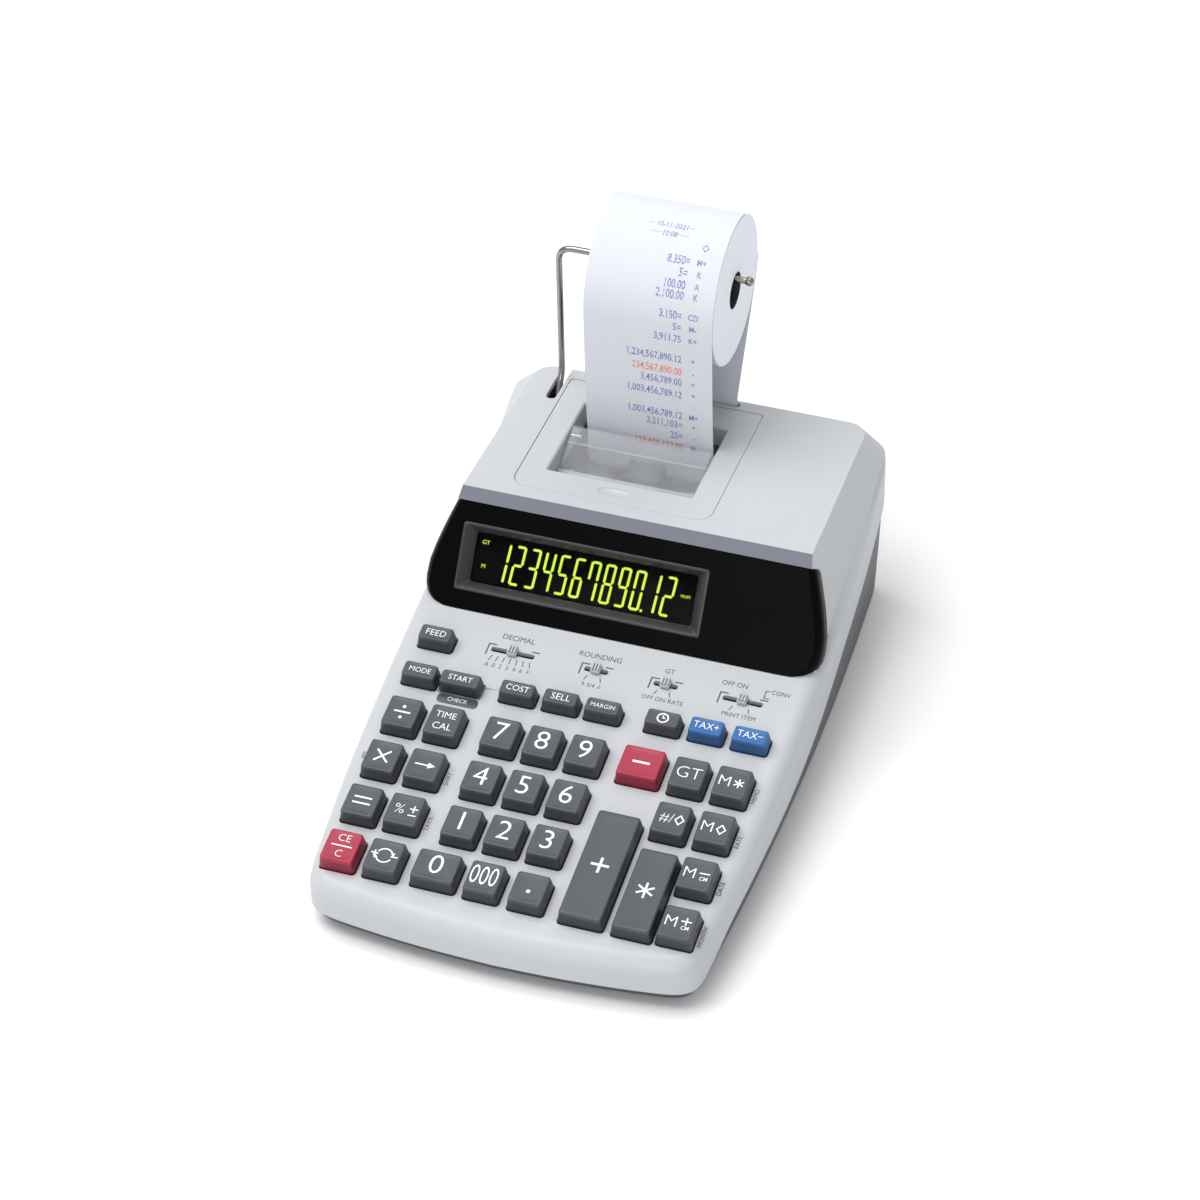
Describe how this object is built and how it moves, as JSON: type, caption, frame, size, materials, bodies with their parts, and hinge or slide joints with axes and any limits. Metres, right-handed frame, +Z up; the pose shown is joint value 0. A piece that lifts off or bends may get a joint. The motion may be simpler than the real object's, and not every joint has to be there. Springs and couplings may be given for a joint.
{
  "type": "printing desk calculator",
  "caption": "Desk calculator with a sloped key deck, a tilted display, and a printer fed from a paper roll on a folding wire arm.",
  "frame": {"origin": "middle of the footprint of the whole part at desk level, with the paper roll counted", "axes": "+X to the user's right, +Y to the back, +Z up, standing on its feet"},
  "size_m": [0.18, 0.3106, 0.1857],
  "materials": {
    "light": "light grey moulded plastic, fine satin",
    "dark": "dark grey moulded plastic, fine grain",
    "black": "gloss black",
    "clear": "clear acrylic",
    "lcd": "black display with yellow-green digits",
    "key": "dark grey satin key cap with white legend",
    "red": "red satin key cap with white legend",
    "blue": "blue satin key cap with white legend",
    "knob": "light grey satin",
    "chrome": "bright plated wire",
    "paper": "white uncoated paper",
    "frame": "dark grey moulded",
    "rubber": "matt black",
    "board": "green circuit board"
  },
  "bodies": {
    "case": {"top_case": "light", "bottom_case": "dark", "display_panel": "black", "display_window": "clear", "lcd_module": "lcd", "printer_frame": "frame", "keyboard_board": "board", "foot_front_left": "rubber", "foot_front_right": "rubber", "foot_rear_left": "rubber", "foot_rear_right": "rubber"},
    "cover": {"printer_cover": "light", "tear_window": "clear"},
    "arm": {"paper_arm": "chrome", "paper_tape": "paper"},
    "roll": {"paper_roll": "paper"},
    "roller": {"feed_roller": "rubber"},
    "carriage": {"print_carriage": "frame"},
    "switch_decimal": {"switch_decimal": "knob"},
    "switch_rounding": {"switch_rounding": "knob"},
    "switch_grand_total": {"switch_grand_total": "knob"},
    "switch_print": {"switch_print": "knob"},
    "key_feed": {"key_feed": "key"},
    "key_mode": {"key_mode": "key"},
    "key_start": {"key_start": "key"},
    "key_cost": {"key_cost": "key"},
    "key_sell": {"key_sell": "key"},
    "key_margin": {"key_margin": "key"},
    "key_clock": {"key_clock": "key"},
    "key_tax_plus": {"key_tax_plus": "blue"},
    "key_tax_minus": {"key_tax_minus": "blue"},
    "key_divide": {"key_divide": "key"},
    "key_time": {"key_time": "key"},
    "key_7": {"key_7": "key"},
    "key_8": {"key_8": "key"},
    "key_9": {"key_9": "key"},
    "key_minus": {"key_minus": "red"},
    "key_grand_total": {"key_grand_total": "key"},
    "key_memory_total": {"key_memory_total": "key"},
    "key_multiply": {"key_multiply": "key"},
    "key_shift": {"key_shift": "key"},
    "key_4": {"key_4": "key"},
    "key_5": {"key_5": "key"},
    "key_6": {"key_6": "key"},
    "key_non_add": {"key_non_add": "key"},
    "key_memory_subtotal": {"key_memory_subtotal": "key"},
    "key_equals": {"key_equals": "key"},
    "key_percent": {"key_percent": "key"},
    "key_1": {"key_1": "key"},
    "key_2": {"key_2": "key"},
    "key_3": {"key_3": "key"},
    "key_memory_minus": {"key_memory_minus": "key"},
    "key_clear": {"key_clear": "red"},
    "key_sign": {"key_sign": "key"},
    "key_0": {"key_0": "key"},
    "key_000": {"key_000": "key"},
    "key_point": {"key_point": "key"},
    "key_plus": {"key_plus": "key"},
    "key_total": {"key_total": "key"},
    "key_memory_plus": {"key_memory_plus": "key"}
  },
  "joints": [
    {"name": "cover_hinge", "type": "hinge", "parent": "case", "child": "cover", "pos_m": [0, 0.12127, 0.0867], "axis": [-1, 0, 0], "range_deg": [0, 10]},
    {"name": "arm_fold", "type": "hinge", "parent": "case", "child": "arm", "pos_m": [0, 0.10867, 0.0765], "axis": [-1, 0, 0], "range_deg": [0, 90], "deforming": ["paper_tape"]},
    {"name": "roll_spin", "type": "hinge", "parent": "arm", "child": "roll", "pos_m": [0, 0.12168, 0.152], "axis": [1, 0, 0], "continuous": true},
    {"name": "feed_spin", "type": "hinge", "parent": "case", "child": "roller", "pos_m": [0, 0.09867, 0.0705], "axis": [1, 0, 0], "continuous": true},
    {"name": "carriage_slide", "type": "slide", "parent": "case", "child": "carriage", "axis": [1, 0, 0], "range_m": [-0.02, 0.02]},
    {"name": "switch_decimal_slide", "type": "slide", "parent": "case", "child": "switch_decimal", "axis": [1, 0, 0], "range_m": [-0.008, 0.008]},
    {"name": "switch_rounding_slide", "type": "slide", "parent": "case", "child": "switch_rounding", "axis": [1, 0, 0], "range_m": [-0.0036, 0.0036]},
    {"name": "switch_grand_total_slide", "type": "slide", "parent": "case", "child": "switch_grand_total", "axis": [1, 0, 0], "range_m": [-0.0036, 0.0036]},
    {"name": "switch_print_slide", "type": "slide", "parent": "case", "child": "switch_print", "axis": [1, 0, 0], "range_m": [-0.007, 0.007]},
    {"name": "key_feed_press", "type": "slide", "parent": "case", "child": "key_feed", "axis": [0, 0.1564, -0.9877], "range_m": [0, 0.0025], "stiffness_N_per_m": 240, "springref_m": -0.0006},
    {"name": "key_mode_press", "type": "slide", "parent": "case", "child": "key_mode", "axis": [0, 0.1564, -0.9877], "range_m": [0, 0.0025], "stiffness_N_per_m": 240, "springref_m": -0.0006},
    {"name": "key_start_press", "type": "slide", "parent": "case", "child": "key_start", "axis": [0, 0.1564, -0.9877], "range_m": [0, 0.0025], "stiffness_N_per_m": 240, "springref_m": -0.0006},
    {"name": "key_cost_press", "type": "slide", "parent": "case", "child": "key_cost", "axis": [0, 0.1564, -0.9877], "range_m": [0, 0.0025], "stiffness_N_per_m": 240, "springref_m": -0.0006},
    {"name": "key_sell_press", "type": "slide", "parent": "case", "child": "key_sell", "axis": [0, 0.1564, -0.9877], "range_m": [0, 0.0025], "stiffness_N_per_m": 240, "springref_m": -0.0006},
    {"name": "key_margin_press", "type": "slide", "parent": "case", "child": "key_margin", "axis": [0, 0.1564, -0.9877], "range_m": [0, 0.0025], "stiffness_N_per_m": 240, "springref_m": -0.0006},
    {"name": "key_clock_press", "type": "slide", "parent": "case", "child": "key_clock", "axis": [0, 0.1564, -0.9877], "range_m": [0, 0.0025], "stiffness_N_per_m": 240, "springref_m": -0.0006},
    {"name": "key_tax_plus_press", "type": "slide", "parent": "case", "child": "key_tax_plus", "axis": [0, 0.1564, -0.9877], "range_m": [0, 0.0025], "stiffness_N_per_m": 240, "springref_m": -0.0006},
    {"name": "key_tax_minus_press", "type": "slide", "parent": "case", "child": "key_tax_minus", "axis": [0, 0.1564, -0.9877], "range_m": [0, 0.0025], "stiffness_N_per_m": 240, "springref_m": -0.0006},
    {"name": "key_divide_press", "type": "slide", "parent": "case", "child": "key_divide", "axis": [0, 0.1564, -0.9877], "range_m": [0, 0.0025], "stiffness_N_per_m": 240, "springref_m": -0.0006},
    {"name": "key_time_press", "type": "slide", "parent": "case", "child": "key_time", "axis": [0, 0.1564, -0.9877], "range_m": [0, 0.0025], "stiffness_N_per_m": 240, "springref_m": -0.0006},
    {"name": "key_7_press", "type": "slide", "parent": "case", "child": "key_7", "axis": [0, 0.1564, -0.9877], "range_m": [0, 0.0025], "stiffness_N_per_m": 240, "springref_m": -0.0006},
    {"name": "key_8_press", "type": "slide", "parent": "case", "child": "key_8", "axis": [0, 0.1564, -0.9877], "range_m": [0, 0.0025], "stiffness_N_per_m": 240, "springref_m": -0.0006},
    {"name": "key_9_press", "type": "slide", "parent": "case", "child": "key_9", "axis": [0, 0.1564, -0.9877], "range_m": [0, 0.0025], "stiffness_N_per_m": 240, "springref_m": -0.0006},
    {"name": "key_minus_press", "type": "slide", "parent": "case", "child": "key_minus", "axis": [0, 0.1564, -0.9877], "range_m": [0, 0.0025], "stiffness_N_per_m": 240, "springref_m": -0.0006},
    {"name": "key_grand_total_press", "type": "slide", "parent": "case", "child": "key_grand_total", "axis": [0, 0.1564, -0.9877], "range_m": [0, 0.0025], "stiffness_N_per_m": 240, "springref_m": -0.0006},
    {"name": "key_memory_total_press", "type": "slide", "parent": "case", "child": "key_memory_total", "axis": [0, 0.1564, -0.9877], "range_m": [0, 0.0025], "stiffness_N_per_m": 240, "springref_m": -0.0006},
    {"name": "key_multiply_press", "type": "slide", "parent": "case", "child": "key_multiply", "axis": [0, 0.1564, -0.9877], "range_m": [0, 0.0025], "stiffness_N_per_m": 240, "springref_m": -0.0006},
    {"name": "key_shift_press", "type": "slide", "parent": "case", "child": "key_shift", "axis": [0, 0.1564, -0.9877], "range_m": [0, 0.0025], "stiffness_N_per_m": 240, "springref_m": -0.0006},
    {"name": "key_4_press", "type": "slide", "parent": "case", "child": "key_4", "axis": [0, 0.1564, -0.9877], "range_m": [0, 0.0025], "stiffness_N_per_m": 240, "springref_m": -0.0006},
    {"name": "key_5_press", "type": "slide", "parent": "case", "child": "key_5", "axis": [0, 0.1564, -0.9877], "range_m": [0, 0.0025], "stiffness_N_per_m": 240, "springref_m": -0.0006},
    {"name": "key_6_press", "type": "slide", "parent": "case", "child": "key_6", "axis": [0, 0.1564, -0.9877], "range_m": [0, 0.0025], "stiffness_N_per_m": 240, "springref_m": -0.0006},
    {"name": "key_non_add_press", "type": "slide", "parent": "case", "child": "key_non_add", "axis": [0, 0.1564, -0.9877], "range_m": [0, 0.0025], "stiffness_N_per_m": 240, "springref_m": -0.0006},
    {"name": "key_memory_subtotal_press", "type": "slide", "parent": "case", "child": "key_memory_subtotal", "axis": [0, 0.1564, -0.9877], "range_m": [0, 0.0025], "stiffness_N_per_m": 240, "springref_m": -0.0006},
    {"name": "key_equals_press", "type": "slide", "parent": "case", "child": "key_equals", "axis": [0, 0.1564, -0.9877], "range_m": [0, 0.0025], "stiffness_N_per_m": 240, "springref_m": -0.0006},
    {"name": "key_percent_press", "type": "slide", "parent": "case", "child": "key_percent", "axis": [0, 0.1564, -0.9877], "range_m": [0, 0.0025], "stiffness_N_per_m": 240, "springref_m": -0.0006},
    {"name": "key_1_press", "type": "slide", "parent": "case", "child": "key_1", "axis": [0, 0.1564, -0.9877], "range_m": [0, 0.0025], "stiffness_N_per_m": 240, "springref_m": -0.0006},
    {"name": "key_2_press", "type": "slide", "parent": "case", "child": "key_2", "axis": [0, 0.1564, -0.9877], "range_m": [0, 0.0025], "stiffness_N_per_m": 240, "springref_m": -0.0006},
    {"name": "key_3_press", "type": "slide", "parent": "case", "child": "key_3", "axis": [0, 0.1564, -0.9877], "range_m": [0, 0.0025], "stiffness_N_per_m": 240, "springref_m": -0.0006},
    {"name": "key_memory_minus_press", "type": "slide", "parent": "case", "child": "key_memory_minus", "axis": [0, 0.1564, -0.9877], "range_m": [0, 0.0025], "stiffness_N_per_m": 240, "springref_m": -0.0006},
    {"name": "key_clear_press", "type": "slide", "parent": "case", "child": "key_clear", "axis": [0, 0.1564, -0.9877], "range_m": [0, 0.0025], "stiffness_N_per_m": 240, "springref_m": -0.0006},
    {"name": "key_sign_press", "type": "slide", "parent": "case", "child": "key_sign", "axis": [0, 0.1564, -0.9877], "range_m": [0, 0.0025], "stiffness_N_per_m": 240, "springref_m": -0.0006},
    {"name": "key_0_press", "type": "slide", "parent": "case", "child": "key_0", "axis": [0, 0.1564, -0.9877], "range_m": [0, 0.0025], "stiffness_N_per_m": 240, "springref_m": -0.0006},
    {"name": "key_000_press", "type": "slide", "parent": "case", "child": "key_000", "axis": [0, 0.1564, -0.9877], "range_m": [0, 0.0025], "stiffness_N_per_m": 240, "springref_m": -0.0006},
    {"name": "key_point_press", "type": "slide", "parent": "case", "child": "key_point", "axis": [0, 0.1564, -0.9877], "range_m": [0, 0.0025], "stiffness_N_per_m": 240, "springref_m": -0.0006},
    {"name": "key_plus_press", "type": "slide", "parent": "case", "child": "key_plus", "axis": [0, 0.1564, -0.9877], "range_m": [0, 0.0025], "stiffness_N_per_m": 240, "springref_m": -0.0006},
    {"name": "key_total_press", "type": "slide", "parent": "case", "child": "key_total", "axis": [0, 0.1564, -0.9877], "range_m": [0, 0.0025], "stiffness_N_per_m": 240, "springref_m": -0.0006},
    {"name": "key_memory_plus_press", "type": "slide", "parent": "case", "child": "key_memory_plus", "axis": [0, 0.1564, -0.9877], "range_m": [0, 0.0025], "stiffness_N_per_m": 240, "springref_m": -0.0006}
  ]
}
